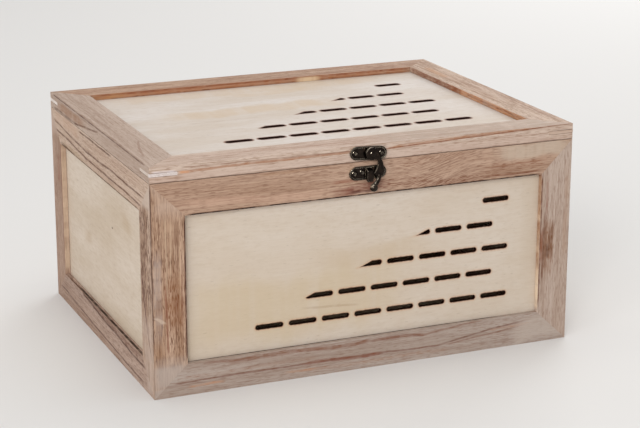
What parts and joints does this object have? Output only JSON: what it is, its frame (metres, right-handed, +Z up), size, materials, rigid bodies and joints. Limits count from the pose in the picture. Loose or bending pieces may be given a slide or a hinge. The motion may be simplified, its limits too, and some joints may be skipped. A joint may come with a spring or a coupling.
{
  "type": "wooden storage box",
  "caption": "Framed and panelled wooden box with a hinged lid, rows of slots in the lid and front panels, and a small swinging hook latch.",
  "frame": {"origin": "middle of the underside of the wooden box, where it rests on a table", "axes": "+X along the front from left to right, +Y from front to back, +Z up; the latch is on the -Y face"},
  "size_m": [0.34, 0.2733, 0.174],
  "materials": {
    "side_wood": "matte",
    "lid_wood": "matte",
    "key_wood": "matte",
    "panel_plywood": "matte",
    "bottom_plywood": "matte",
    "dark_bronze": "satin"
  },
  "bodies": {
    "box": {"front_top_rail": "side_wood", "front_bottom_rail": "side_wood", "front_left_stile": "side_wood", "front_right_stile": "side_wood", "front_panel": "panel_plywood", "right_top_rail": "side_wood", "right_bottom_rail": "side_wood", "right_front_stile": "side_wood", "right_back_stile": "side_wood", "right_panel": "panel_plywood", "back_top_rail": "side_wood", "back_bottom_rail": "side_wood", "back_right_stile": "side_wood", "back_left_stile": "side_wood", "back_panel": "panel_plywood", "left_top_rail": "side_wood", "left_bottom_rail": "side_wood", "left_back_stile": "side_wood", "left_front_stile": "side_wood", "left_panel": "panel_plywood", "bottom_board": "bottom_plywood", "catch_plate": "dark_bronze", "catch_plate_left_screw": "dark_bronze", "catch_plate_right_screw": "dark_bronze", "left_hinge_body_leaf": "dark_bronze", "left_hinge_pin": "dark_bronze", "left_hinge_body_left_screw": "dark_bronze", "left_hinge_body_right_screw": "dark_bronze", "right_hinge_body_leaf": "dark_bronze", "right_hinge_pin": "dark_bronze", "right_hinge_body_left_screw": "dark_bronze", "right_hinge_body_right_screw": "dark_bronze"},
    "lid": {"lid_front_rail": "lid_wood", "lid_right_rail": "lid_wood", "lid_back_rail": "lid_wood", "lid_left_rail": "lid_wood", "lid_panel": "panel_plywood", "lid_front_left_key": "key_wood", "lid_front_right_key": "key_wood", "lid_back_right_key": "key_wood", "lid_back_left_key": "key_wood", "hook_plate": "dark_bronze", "hook_rivet": "dark_bronze", "hook_plate_left_screw": "dark_bronze", "hook_plate_right_screw": "dark_bronze", "left_hinge_lid_leaf": "dark_bronze", "left_hinge_lid_left_screw": "dark_bronze", "left_hinge_lid_right_screw": "dark_bronze", "right_hinge_lid_leaf": "dark_bronze", "right_hinge_lid_left_screw": "dark_bronze", "right_hinge_lid_right_screw": "dark_bronze"},
    "hook": {"hook": "dark_bronze"}
  },
  "joints": [
    {"name": "lid_hinge", "type": "hinge", "parent": "box", "child": "lid", "pos_m": [0, 0.1318, 0.16185], "axis": [-1, 0, 0], "range_deg": [0, 105]},
    {"name": "hook_pivot", "type": "hinge", "parent": "lid", "child": "hook", "pos_m": [-0.0003, -0.13, 0.16788], "axis": [0, -1, 0], "range_deg": [0, 150]}
  ]
}
